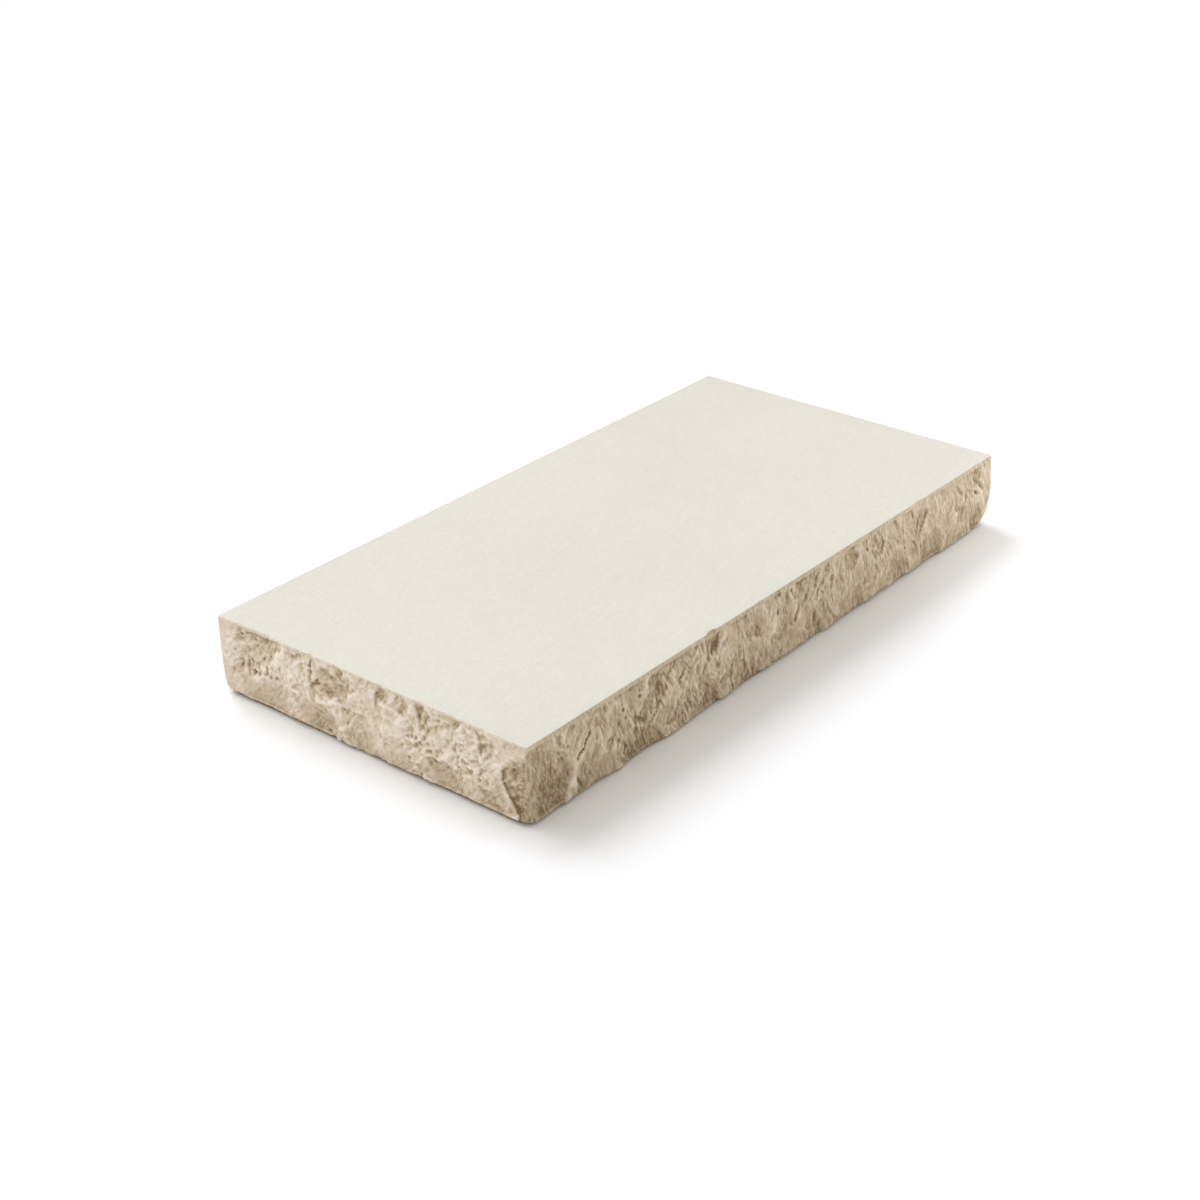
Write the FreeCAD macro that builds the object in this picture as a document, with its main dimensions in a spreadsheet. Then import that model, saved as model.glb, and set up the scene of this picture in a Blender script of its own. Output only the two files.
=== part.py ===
import FreeCAD
import Part
import Sketcher
import math
import os
import sys

# Wall coping stone: one flat slab of pale limestone, 600 x 300 x 63 mm.
# The top is sawn and rubbed flat. All four edges are rock-faced: split with a
# pitching chisel, so each face swells a little beyond the top arris, is eased
# at the foot, and carries shallow shell-shaped scars where spalls came off.
#
# Frame: origin at the middle of the bed (underside), +X along the stone,
# +Y across the wall, +Z up.  Millimetres.

doc = FreeCAD.newDocument("wall_coping")
sheet = doc.addObject("Spreadsheet::Sheet", "Sizes")

# ---------------------------------------------------------------------------
# Driving dimensions
# ---------------------------------------------------------------------------

cells = [
    # overall size, over the rock faces
    ("stone_length", 600.0),
    ("stone_width", 300.0),
    ("stone_thick", 63.0),
]

# The edge section, from the bed up: how high each course of the section is,
# how far it stands back from the overall face, and its corner radius in plan.
levels = [
    ("bed", 0.0, 4.4, 11.0),
    ("toe", 1.0, 2.5, 10.0),
    ("foot", 2.2, 0.8, 8.5),
    ("shin", 5.5, 0.15, 7.0),
    ("belly_low", 15.0, 0.0, 6.0),
    ("belly_high", 40.0, 0.0, 4.5),
    ("shoulder", 53.0, 0.4, 3.6),
    ("neck", 61.6, 1.0, 2.8),
    ("arris", 63.0, 2.0, 2.2),
]
for name, up, back, radius in levels:
    cells.append((name + "_up", up))
    cells.append((name + "_back", back))
    cells.append((name + "_corner", radius))

# Spall scars: where the scar lies along its face (from the middle of the
# face), its height above the bed, the radius of its rim and its depth.
scars = {
    # the end at -X, seen from outside: +Y on the left, -Y on the right
    "near_end": [
        (108.0, 53.0, 16.0, 2.9),
        (31.0, 46.5, 23.0, 3.3),
        (-16.0, 55.5, 8.5, 2.3),
        (-58.0, 51.5, 11.0, 3.0),
        (-112.0, 53.5, 9.0, 2.3),
        (-144.0, 25.0, 27.0, 4.2),
        (101.0, 6.5, 31.0, 2.7),
        (48.0, 11.5, 20.0, 2.8),
        (3.0, 13.5, 21.0, 2.3),
        (-76.0, 12.0, 20.0, 2.3),
        (-113.0, 9.0, 17.0, 2.3),
        (127.0, 34.5, 14.0, 1.2),
    ],
    # the long face at -Y
    "front_side": [
        (-279.0, 21.0, 24.0, 3.4),
        (-216.0, 42.0, 18.0, 1.6),
        (-238.0, 10.0, 14.0, 2.1),
        (-184.0, 8.5, 18.0, 2.8),
        (-176.0, 31.5, 12.0, 2.3),
        (-163.0, 49.0, 15.0, 2.4),
        (-137.0, 14.0, 16.0, 1.7),
        (-97.0, 54.5, 11.0, 3.5),
        (-98.0, 12.5, 20.0, 2.3),
        (-51.0, 9.5, 20.0, 2.4),
        (-43.0, 44.0, 12.0, 2.0),
        (-3.0, 28.5, 13.0, 1.5),
        (16.0, 49.0, 16.0, 2.1),
        (37.0, 11.5, 20.0, 2.4),
        (82.0, 51.0, 13.0, 2.2),
        (97.0, 9.5, 20.0, 2.4),
        (121.0, 48.5, 15.0, 2.1),
        (152.0, 14.5, 16.0, 1.7),
        (184.0, 44.0, 13.0, 2.3),
        (204.0, 9.5, 22.0, 2.6),
        (251.0, 27.5, 12.0, 1.9),
        (273.0, 53.0, 11.0, 2.0),
        (279.0, 12.5, 16.0, 2.8),
    ],
    # the end at +X
    "far_end": [
        (-126.0, 51.5, 14.0, 2.4),
        (-139.0, 14.5, 19.0, 3.1),
        (-86.0, 16.0, 24.0, 2.5),
        (-72.0, 48.5, 17.0, 2.6),
        (-24.0, 52.5, 13.0, 2.5),
        (-31.0, 9.5, 19.0, 2.3),
        (22.0, 33.5, 20.0, 2.6),
        (38.0, 9.0, 17.0, 2.2),
        (67.0, 53.5, 12.0, 2.8),
        (88.0, 12.5, 22.0, 2.5),
        (118.0, 45.0, 18.0, 2.4),
        (141.0, 19.0, 20.0, 3.3),
    ],
    # the long face at +Y
    "back_side": [
        (-259.0, 40.0, 18.0, 2.4),
        (-242.0, 9.5, 17.0, 2.3),
        (-226.0, 49.5, 15.0, 2.5),
        (-209.0, 11.5, 22.0, 2.6),
        (-172.0, 40.0, 19.0, 2.2),
        (-151.0, 9.0, 17.0, 2.2),
        (-118.0, 53.0, 12.0, 3.0),
        (-99.0, 16.0, 23.0, 2.7),
        (-61.0, 46.0, 17.0, 2.2),
        (-44.0, 9.5, 19.0, 2.3),
        (-6.0, 33.5, 18.0, 1.9),
        (11.0, 8.5, 15.0, 2.2),
        (34.0, 53.5, 13.0, 2.7),
        (66.0, 13.5, 22.0, 2.5),
        (93.0, 47.0, 18.0, 2.3),
        (128.0, 9.5, 18.0, 2.3),
        (147.0, 50.5, 14.0, 2.4),
        (178.0, 16.0, 21.0, 2.6),
        (214.0, 43.0, 18.0, 2.2),
        (233.0, 9.5, 17.0, 2.3),
        (259.0, 52.5, 12.0, 2.5),
        (280.0, 21.0, 21.0, 3.2),
    ],
}
for face in scars:
    for n, (along, up, rim, deep) in enumerate(scars[face], 1):
        key = "%s_%02d_" % (face, n)
        cells.append((key + "along", along))
        cells.append((key + "up", up))
        cells.append((key + "rim", rim))
        cells.append((key + "deep", deep))

for row, (alias, value) in enumerate(cells, 1):
    sheet.set("A%d" % row, alias)
    sheet.set("B%d" % row, repr(value))
    sheet.setAlias("B%d" % row, alias)
doc.recompute()


def size(alias):
    return float(sheet.get(alias))


# ---------------------------------------------------------------------------
# The stone
# ---------------------------------------------------------------------------

body = doc.addObject("PartDesign::Body", "coping_stone")
body.Label = "coping_stone"
plan = [f for f in body.Origin.OriginFeatures if f.Role == "XY_Plane"][0]


def outline(name):
    """One course of the edge section: a rectangle with rounded corners, about the stone's middle."""
    sk = body.newObject("Sketcher::SketchObject", name + "_outline")
    sk.AttachmentSupport = [(plan, "")]
    sk.MapMode = "FlatFace"
    sk.AttachmentOffset = FreeCAD.Placement(
        FreeCAD.Vector(0, 0, size(name + "_up")), FreeCAD.Rotation()
    )
    if name == "arris":
        sk.setExpression("AttachmentOffset.Base.z", "Sizes.stone_thick")
    else:
        sk.setExpression("AttachmentOffset.Base.z", "Sizes.%s_up" % name)
    a = size("stone_length") / 2 - size(name + "_back")
    b = size("stone_width") / 2 - size(name + "_back")
    r = size(name + "_corner")
    v = FreeCAD.Vector
    pi = math.pi
    straight = [
        ((-a + r, -b), (a - r, -b)),
        ((a, -b + r), (a, b - r)),
        ((a - r, b), (-a + r, b)),
        ((-a, b - r), (-a, -b + r)),
    ]
    round_ = [
        ((a - r, -b + r), 1.5 * pi, 2 * pi),
        ((a - r, b - r), 0.0, 0.5 * pi),
        ((-a + r, b - r), 0.5 * pi, pi),
        ((-a + r, -b + r), pi, 1.5 * pi),
    ]
    for k in range(4):
        (x0, y0), (x1, y1) = straight[k]
        sk.addGeometry(Part.LineSegment(v(x0, y0, 0), v(x1, y1, 0)), False)
        (cx, cy), t0, t1 = round_[k]
        sk.addGeometry(
            Part.ArcOfCircle(Part.Circle(v(cx, cy, 0), v(0, 0, 1), r), t0, t1), False
        )
    # geometry 0, 2, 4, 6 are the sides; 1, 3, 5, 7 the corners after them
    c = Sketcher.Constraint
    for k in range(4):
        side, corner, after = 2 * k, 2 * k + 1, (2 * k + 2) % 8
        sk.addConstraint(c("Tangent", side, 2, corner, 1))
        sk.addConstraint(c("Tangent", corner, 2, after, 1))
    for k in range(4):
        sk.addConstraint(c("Vertical" if k % 2 else "Horizontal", 2 * k))
    for k in (3, 5, 7):
        sk.addConstraint(c("Equal", 1, k))
    sk.addConstraint(c("Symmetric", 1, 3, 5, 3, -1, 1))
    n = sk.addConstraint(c("Radius", 1, r))
    sk.setExpression("Constraints[%d]" % n, "Sizes.%s_corner" % name)
    n = sk.addConstraint(c("DistanceX", 6, 1, 2, 1, 2 * a))
    sk.setExpression(
        "Constraints[%d]" % n, "Sizes.stone_length - 2 * Sizes.%s_back" % name
    )
    n = sk.addConstraint(c("DistanceY", 0, 1, 4, 1, 2 * b))
    sk.setExpression(
        "Constraints[%d]" % n, "Sizes.stone_width - 2 * Sizes.%s_back" % name
    )
    return sk


courses = [outline(name) for name, up, back, radius in levels]
doc.recompute()
for sk in courses:
    if sk.solve() != 0:
        sys.exit("the outline %s does not solve" % sk.Label)

# the pitched blank, before any spall came off
blank = body.newObject("PartDesign::AdditiveLoft", "pitched_blank")
blank.Profile = (courses[0], [""])
blank.Sections = [(sk, [""]) for sk in courses[1:]]
blank.Ruled = True
blank.Closed = False
blank.Refine = False
doc.recompute()
blank_volume = blank.Shape.Volume
print("blank: valid", blank.Shape.isValid(), "volume", round(blank_volume))

# Each scar is a shallow bite of a large ball, whose rim and depth are stated:
# ball radius = (rim^2 + deep^2) / (2 deep), and its centre stands off the face.
ways = {
    "near_end": ("-(Sizes.stone_length / 2 + {off})", "Sizes.{key}along"),
    "far_end": ("Sizes.stone_length / 2 + {off}", "Sizes.{key}along"),
    "front_side": ("Sizes.{key}along", "-(Sizes.stone_width / 2 + {off})"),
    "back_side": ("Sizes.{key}along", "Sizes.stone_width / 2 + {off}"),
}
bites = []
for face in scars:
    for n in range(1, len(scars[face]) + 1):
        key = "%s_%02d_" % (face, n)
        ball = "(Sizes.{0}rim ^ 2 + Sizes.{0}deep ^ 2) / (2 * Sizes.{0}deep)".format(
            key
        )
        off = "%s - Sizes.%sdeep" % (ball, key)
        scar = body.newObject("PartDesign::SubtractiveSphere", key + "scar")
        scar.Refine = False
        scar.setExpression("Radius", ball)
        x, y = ways[face]
        scar.setExpression("Placement.Base.x", x.format(off=off, key=key))
        scar.setExpression("Placement.Base.y", y.format(off=off, key=key))
        scar.setExpression("Placement.Base.z", "Sizes.%sup" % key)
        bites.append(scar)
doc.recompute()

# every scar takes off a thin shell of stone, and no more
left = blank_volume
for scar in bites:
    if scar.Shape.isNull():
        sys.exit("%s failed" % scar.Name)
    gone = left - scar.Shape.Volume
    left = scar.Shape.Volume
    if not 20.0 < gone < 12000.0:
        sys.exit("%s took off %.1f mm3" % (scar.Name, gone))

# ---------------------------------------------------------------------------
# Checks and export
# ---------------------------------------------------------------------------

for obj in doc.Objects:
    if "Invalid" in obj.State or "Error" in obj.State:
        sys.exit("%s did not compute: %s" % (obj.Label, obj.State))

stone = body.Shape
if stone.isNull() or not stone.isValid() or len(stone.Solids) != 1:
    sys.exit("the stone is not one valid solid")
box = stone.optimalBoundingBox(True, False)
print(
    "stone: %.2f x %.2f x %.2f mm, x %.2f..%.2f, y %.2f..%.2f, z %.2f..%.2f"
    % (
        box.XLength,
        box.YLength,
        box.ZLength,
        box.XMin,
        box.XMax,
        box.YMin,
        box.YMax,
        box.ZMin,
        box.ZMax,
    )
)
print(
    "volume %.0f mm3, spalled off %.0f mm3, faces %d"
    % (stone.Volume, blank_volume - stone.Volume, len(stone.Faces))
)

os.makedirs("parts", exist_ok=True)
stone.exportStep(os.path.join("parts", body.Label + ".step"))
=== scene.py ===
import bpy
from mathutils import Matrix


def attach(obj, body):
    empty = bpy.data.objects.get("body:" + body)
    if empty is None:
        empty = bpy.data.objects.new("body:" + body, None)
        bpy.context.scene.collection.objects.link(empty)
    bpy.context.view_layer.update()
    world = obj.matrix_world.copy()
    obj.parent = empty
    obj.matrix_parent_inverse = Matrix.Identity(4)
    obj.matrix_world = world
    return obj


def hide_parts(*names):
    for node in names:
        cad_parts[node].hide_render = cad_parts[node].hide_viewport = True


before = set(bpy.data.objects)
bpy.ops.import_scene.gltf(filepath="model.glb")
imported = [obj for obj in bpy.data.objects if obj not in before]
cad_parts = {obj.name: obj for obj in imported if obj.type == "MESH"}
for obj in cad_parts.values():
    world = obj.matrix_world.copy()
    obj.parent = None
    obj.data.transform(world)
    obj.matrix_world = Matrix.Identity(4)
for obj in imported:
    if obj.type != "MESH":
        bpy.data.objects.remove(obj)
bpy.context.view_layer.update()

import math

import bpy
import numpy as np
from mathutils import Matrix, Vector
from mathutils.bvhtree import BVHTree

# ---------------------------------------------------------------------------
# Noise, in millimetres of the stone's own frame
# ---------------------------------------------------------------------------


def lattice(ix, iy, iz, seed):
    h = (
        ix.astype(np.uint32) * np.uint32(0x9E3779B1)
        ^ iy.astype(np.uint32) * np.uint32(0x85EBCA77)
        ^ iz.astype(np.uint32) * np.uint32(0xC2B2AE3D)
        ^ np.uint32((seed * 0x27D4EB2F + 0x165667B1) & 0xFFFFFFFF)
    )
    h = (h ^ (h >> np.uint32(15))) * np.uint32(0x2C1B3C6D)
    h = (h ^ (h >> np.uint32(12))) * np.uint32(0x297A2D39)
    return h ^ (h >> np.uint32(15))


def perlin(p, seed):
    """Gradient noise, about -1 to 1, at points p of shape (..., 3)."""
    c = np.floor(p).astype(np.int64)
    f = p - c
    w = f * f * f * (f * (f * 6 - 15) + 10)
    out = np.zeros(p.shape[:-1])
    for k in range(8):
        o = np.array([k & 1, k >> 1 & 1, k >> 2 & 1])
        q = c + o
        h = lattice(q[..., 0], q[..., 1], q[..., 2], seed)
        g = np.stack(
            [
                (h & np.uint32(1023)).astype(float),
                (h >> np.uint32(10) & np.uint32(1023)).astype(float),
                (h >> np.uint32(20) & np.uint32(1023)).astype(float),
            ],
            -1,
        )
        g = g / 511.5 - 1
        g /= np.linalg.norm(g, axis=-1, keepdims=True) + 1e-6
        d = f - o
        ww = np.prod(np.where(o == 1, w, 1 - w), axis=-1)
        out += ww * (g * d).sum(-1)
    return out * 1.55


def fbm(p, wave, octaves, seed, gain=0.5):
    total, size = np.zeros(p.shape[:-1]), 0.0
    for k in range(octaves):
        total += gain**k * perlin(p * (2.03**k / wave), seed + 17 * k)
        size += gain**k
    return total / size


def smooth(x, lo, hi):
    t = np.clip((x - lo) / (hi - lo), 0, 1)
    return t * t * (3 - 2 * t)


# ---------------------------------------------------------------------------
# The stone's grid: columns round the edge, rows from the top arris to the bed
# ---------------------------------------------------------------------------

HALF_L, HALF_W = 300.0, 150.0
N_LONG, N_SHORT = 512, 256
COLS = 2 * (N_LONG + N_SHORT)
ROWS = 58

# the edge section from the top down: height, set-back from the overall face,
# corner radius in plan
SECTION = [
    (63.0, 2.0, 2.2),
    (61.6, 1.0, 2.8),
    (53.0, 0.4, 3.6),
    (40.0, 0.0, 4.5),
    (15.0, 0.0, 6.0),
    (5.5, 0.15, 7.0),
    (2.2, 0.8, 8.5),
    (1.0, 2.5, 10.0),
    (0.0, 4.4, 11.0),
]

# sides in turn, seen from above: front (-Y), far end (+X), back (+Y), near end (-X)
SIDES = [
    (np.array([1.0, 0.0]), np.array([0.0, -1.0]), HALF_L, HALF_W, N_LONG),
    (np.array([0.0, 1.0]), np.array([1.0, 0.0]), HALF_W, HALF_L, N_SHORT),
    (np.array([-1.0, 0.0]), np.array([0.0, 1.0]), HALF_L, HALF_W, N_LONG),
    (np.array([0.0, -1.0]), np.array([-1.0, 0.0]), HALF_W, HALF_L, N_SHORT),
]


def ring(back, radius, step=1):
    """Points and outward directions round a rounded rectangle, from the middle of the corner at -X -Y."""
    places, ways = [], []
    for along, out, half, deep, count in SIDES:
        half, deep, count = half - back, deep - back, count // step
        arc = math.pi * radius / 4
        run = 2 * (half - radius)
        d = np.arange(count) / count * (2 * arc + run)
        turn = np.where(
            d < arc,
            (d - arc) / max(radius, 1e-6),
            np.where(d > arc + run, (d - arc - run) / max(radius, 1e-6), 0.0),
        )
        s = np.clip(d - arc, 0, run) - run / 2
        way = np.cos(turn)[:, None] * out + np.sin(turn)[:, None] * along
        places.append(s[:, None] * along + (deep - radius) * out + radius * way)
        ways.append(way)
    return np.concatenate(places), np.concatenate(ways)


knots = np.array(SECTION)
length = np.concatenate(
    [[0], np.cumsum(np.hypot(np.diff(knots[:, 0]), np.diff(knots[:, 1])))]
)
fine = np.linspace(0, length[-1], 3000)
line = np.stack([np.interp(fine, length, knots[:, k]) for k in range(3)], -1)
# the courses run into each other below the arris
reach = 60
pad = np.pad(line, ((reach, reach), (0, 0)), mode="edge")
pad[:reach] = 2 * line[0] - line[reach:0:-1]
pad[-reach:] = 2 * line[-1] - line[-2 : -reach - 2 : -1]
kernel = np.hanning(2 * reach + 1)
kernel /= kernel.sum()
soft = np.stack([np.convolve(pad[:, k], kernel, "valid") for k in range(3)], -1)
keep = smooth(fine, length[1], length[1] + 4.0)[:, None]
line = line * (1 - keep) + soft * keep
line[-1] = knots[-1]
at = np.concatenate(
    [
        [0.0, 0.7],
        np.linspace(length[1], length[-1], ROWS - 1),
    ]
)
rows = np.stack([np.interp(at, fine, line[:, k]) for k in range(3)], -1)
lean = np.stack([np.gradient(line[:, k], fine) for k in range(2)], -1)
lean = np.stack([np.interp(at, fine, lean[:, k]) for k in range(2)], -1)
lean /= np.linalg.norm(lean, axis=1, keepdims=True)
# walking down the section: height falls, set-back changes; outward is to its side
out_h, out_z = -lean[:, 0], -lean[:, 1]

base = np.zeros((ROWS + 1, COLS, 3))
way = np.zeros((ROWS + 1, COLS, 3))
for i in range(ROWS + 1):
    xy, nxy = ring(rows[i, 1], rows[i, 2])
    base[i, :, :2], base[i, :, 2] = xy, rows[i, 0]
    way[i, :, :2], way[i, :, 2] = nxy * out_h[i], out_z[i]
way /= np.linalg.norm(way, axis=-1, keepdims=True)

pitch = 2 * (HALF_L + HALF_W) * 2 / COLS
up = base[..., 2]
side = np.repeat(np.arange(4), [s[4] for s in SIDES])
ends = np.isin(side, (1, 3)).astype(float)[None, :]  # 1 on the short ends

# how far the cut stone lies from that plain section: its larger scars
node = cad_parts["coping_stone"]
tree = BVHTree.FromPolygons(
    [tuple(v.co) for v in node.data.vertices],
    [tuple(p.vertices) for p in node.data.polygons],
)
cut = np.zeros((ROWS + 1, COLS))
for i in range(ROWS + 1):
    for j in range(COLS):
        o = Vector(base[i, j] * 0.001)
        d = Vector(way[i, j])
        hit = tree.ray_cast(o + d * 0.006, -d, 0.02)
        if hit[0] is not None:
            cut[i, j] = 6.0 - hit[3] * 1000
cut = np.clip(cut, -6, 0.5)


def sample(field, i, j):
    """The field at broken row and column numbers; columns go round."""
    i = np.clip(i, 0, ROWS - 1e-6)
    i0 = np.floor(i).astype(int)
    j0 = np.floor(j).astype(int)
    a, b = i - i0, j - j0
    j1, j0 = (j0 + 1) % COLS, j0 % COLS
    return (field[i0, j0] * (1 - b) + field[i0, j1] * b) * (1 - a) + (
        field[i0 + 1, j0] * (1 - b) + field[i0 + 1, j1] * b
    ) * a


def blur(field, mm):
    """A soft average over about that many millimetres."""
    n = max(1, int(round(2.5 * mm / pitch)))
    k = np.exp(-0.5 * (np.arange(-n, n + 1) * pitch / mm) ** 2)
    k /= k.sum()
    wide = np.concatenate([field[:, -n:], field, field[:, :n]], 1)
    flat = sum(k[m] * wide[:, m : m + COLS] for m in range(2 * n + 1))
    tall = np.pad(flat, ((n, n), (0, 0)), mode="edge")
    return sum(k[m] * tall[m : m + ROWS + 1] for m in range(2 * n + 1))


row_no, col_no = np.meshgrid(np.arange(ROWS + 1.0), np.arange(COLS + 0.0), indexing="ij")

# ---------------------------------------------------------------------------
# The rock face
# ---------------------------------------------------------------------------

# distance round the stone, from the corner at -X +Y along the near end first
mid = base[ROWS // 2]
girth = np.select(
    [side == 3, side == 0, side == 1],
    [150 - mid[:, 1], 600 + mid[:, 0], 1050 + mid[:, 1]],
    1500 - mid[:, 0],
)[None, :] * np.ones((ROWS + 1, 1))
near_end, front = 0.0, 300.0

wob_u = fbm(base, 26, 2, 11) * 5.0 + fbm(base, 8, 3, 12) * 2.2
wob_z = fbm(base, 26, 2, 13) * 4.0 + fbm(base, 8, 3, 14) * 2.2


def around(u, z, turn=0.0, wander=1.0):
    """Millimetres from a point of the face, along and across a direction, with wandering outlines."""
    du = (girth + wander * wob_u - u + 900) % 1800 - 900
    dz = up + wander * wob_z - z
    c, t = math.cos(turn), math.sin(turn)
    return du * c + dz * t, -du * t + dz * c


# 1 on the ends, 0 on the long sides, easing over at the corners
to_corner = np.minimum.reduce([np.abs((girth - u + 900) % 1800 - 900) for u in (0, 300, 900, 1200)])
at_end = 0.5 + (ends - 0.5) * smooth(to_corner, 0, 9)

# scars of the cut stone, with wandering rims; round corners carry no facets over
near = smooth(to_corner, 15, 8)
cut = cut * (1 - near) + blur(cut, 6.0) * near
face = sample(cut, row_no + wob_z / pitch, col_no + wob_u / pitch) * (0.6 + 0.3 * at_end)

# broad swell, and a loose crest below mid height with the foot drawn in under it
face = face + fbm(base, 95, 2, 21) * 1.0 - 0.5
crest = 29 + 9 * fbm(base, 70, 2, 22)
rise = np.clip((up - crest) / (63 - crest), 0, 1)
fall = np.clip((crest - up) / crest, 0, 1)
face -= (0.3 + 0.5 * at_end) * rise**1.6 + (0.2 + 0.9 * at_end) * fall**1.5

# Recesses with one broken edge: where, half-lengths along and across, the
# direction from the broken edge to the feathered one, depth.
RECESSES = [
    # near end, from its left corner
    (near_end + 46, 44, 18, 21, 0.06, 2.6),
    (near_end + 30, 25.2, 9, 10, 0.3, 1.0),
    (near_end + 118, 46.2, 23, 14, 0.25, 2.9),
    (near_end + 166, 54.6, 6, 8, 0.3, 1.8),
    (near_end + 208, 50.4, 8, 11, 0.15, 2.8),
    (near_end + 262, 50.4, 6, 10, 0.2, 2.0),
    (near_end + 140, 25.2, 6, 18, -1.45, 1.6),
    (near_end + 226, 14.7, 16, 11, -0.9, 1.4),
    (near_end + 266, 12.6, 15, 9, -0.8, 1.4),
    (near_end + 72, 27.3, 9, 16, -1.2, 1.1),
    (near_end + 240, 37.8, 8, 10, 0.5, 1.0),
    # front, from the near corner
    (front + 72, 54.6, 9, 8, 2.6, 1.3),
    (front + 124, 31.5, 13, 15, 2.5, 2.3),
    (front + 137, 48.3, 13, 12, 2.7, 2.0),
    (front + 114, 10.5, 15, 10, 2.0, 1.9),
    (front + 170, 46.2, 6, 7, 2.4, 1.2),
    (front + 203, 53.6, 8, 11, 2.9, 2.6),
    (front + 200, 13.7, 18, 9, 1.9, 1.7),
    (front + 248, 10.5, 18, 9, 2.1, 1.6),
    (front + 256, 44.1, 10, 9, 2.6, 1.7),
    (front + 300, 34.6, 10, 8, 2.5, 1.2),
    (front + 334, 12.6, 18, 9, 2.0, 1.7),
    (front + 330, 46.2, 13, 10, 2.6, 1.5),
    (front + 380, 50.4, 11, 9, 2.7, 1.8),
    (front + 396, 10.5, 17, 9, 2.0, 1.6),
    (front + 419, 48.3, 14, 9, 2.5, 1.7),
    (front + 452, 18.9, 12, 9, 2.2, 1.2),
    (front + 483, 43.1, 9, 14, 2.7, 1.9),
    (front + 500, 10.5, 20, 9, 2.0, 1.7),
    (front + 550, 26.2, 9, 8, 2.5, 1.4),
    (front + 572, 53.6, 9, 7, 2.7, 1.5),
    (front + 577, 14.7, 14, 10, 2.2, 1.9),
]
dice = np.random.default_rng(5)
for n in range(36):
    # the two far faces
    u = 915 + n * 24.6 + dice.uniform(-8, 8)
    low = n % 2
    lean_to = dice.uniform(0, 0.5) if u > 1200 else math.pi - dice.uniform(0.2, 0.7)
    RECESSES.append(
        (
            u,
            dice.uniform(8, 16) if low else dice.uniform(36, 52),
            dice.uniform(8, 20),
            dice.uniform(8, 14),
            -lean_to if low else lean_to,
            dice.uniform(1.2, 2.6),
        )
    )
for u, z, half, wide, turn, deep in RECESSES:
    a, b = around(u, z, turn)
    a, b = a / half, b / wide
    ramp_ = np.clip((1 - a) / 2, 0, 1) ** 1.3 * smooth(a, -1.07, -0.98)
    face -= (0.8 if u < front else 0.48) * deep * ramp_ * smooth(np.abs(b), 1.1, 0.6)

# one shield-shaped break round the near corner, deepest along its rims
RIM_Z = (0, 4, 10, 20, 31, 40, 48, 54, 58, 61)
RIM_LEFT = (291, 289, 284, 278, 274, 276, 282, 291, 299, 304)
RIM_RIGHT = (334, 337, 341, 345, 344, 340, 332, 322, 312, 304)
u = girth + 0.4 * wob_u + 1.2 * fbm(base, 5, 2, 17)
z = up + 0.4 * wob_z + 1.2 * fbm(base, 5, 2, 18)
from_left, from_right = u - np.interp(z, RIM_Z, RIM_LEFT), np.interp(z, RIM_Z, RIM_RIGHT) - u
high_ = smooth(z, 34, 50)
in_scar = smooth(from_left, -0.4 - 2 * high_, 1.4 + 7 * high_) * smooth(from_right, -1.5 - 2 * high_, 3.5 + 6 * high_)
face -= in_scar * (0.75 + 0.75 * (1 - high_) * np.exp(-np.maximum(from_left, 0) / 7))

# Swellings between them
for u, z, half, wide, turn, high in [
    (near_end + 182, 36.8, 13, 8, 0.6, 0.9),
    (near_end + 72, 48.3, 14, 11, 0.9, 0.8),
    (near_end + 14, 35.7, 12, 22, 0.0, 0.5),
    (near_end + 228, 42, 14, 13, 0.6, 0.7),
    (near_end + 160, 14.7, 18, 10, 0.2, 0.8),
    (front + 77, 38.9, 16, 11, -0.9, 1.1),
    (front + 48, 23.1, 6, 22, -0.15, 0.8),
    (front + 160, 29.4, 17, 16, -0.7, 0.8),
    (front + 272, 33.6, 12, 14, -0.6, 1.0),
    (front + 225, 42, 14, 12, -0.6, 0.6),
    (front + 360, 31.5, 20, 14, -0.6, 0.7),
    (front + 440, 33.6, 18, 14, -0.6, 0.6),
    (front + 522, 33.6, 20, 15, -0.6, 0.7),
    (front + 588, 37.8, 10, 16, 0.0, 0.6),
]:
    a, b = around(u, z, turn)
    face += high * np.exp(-((a / half) ** 2 + (b / wide) ** 2))

# where the break is clean: on the lower facets and at the near corner
clean = 0.75 * smooth(fbm(base, 46, 2, 31) + 0.25 * smooth(up, 30, 12), 0.12, 0.42)
for u, z, half, wide, turn in [
    (near_end + 44, 9.5, 40, 11, 0.0),
    (near_end + 100, 13.7, 22, 13, 0.0),
    (near_end + 224, 12.6, 22, 10, 0.0),
    (near_end + 264, 10.5, 18, 9, 0.0),
    (front + 77, 12.6, 22, 10, 0.0),
]:
    a, b = around(u, z, turn)
    clean = np.maximum(clean, smooth((a / half) ** 2 + (b / wide) ** 2, 1.25, 0.6))
clean = np.maximum(clean, 0.6 * in_scar)
crumble = (1 - clean) * smooth(fbm(base, 34, 2, 32) + 0.22 * at_end + 0.2 * smooth(up, 15, 34), -0.1, 0.35)

# the run of the break, from the level, as seen facing each side
lie = np.array([-1.2, -0.85, 1.2, 0.9])[side][None, :] * np.ones((ROWS + 1, 1))
run = lie + 0.25 * fbm(base, 50, 2, 41)


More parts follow.
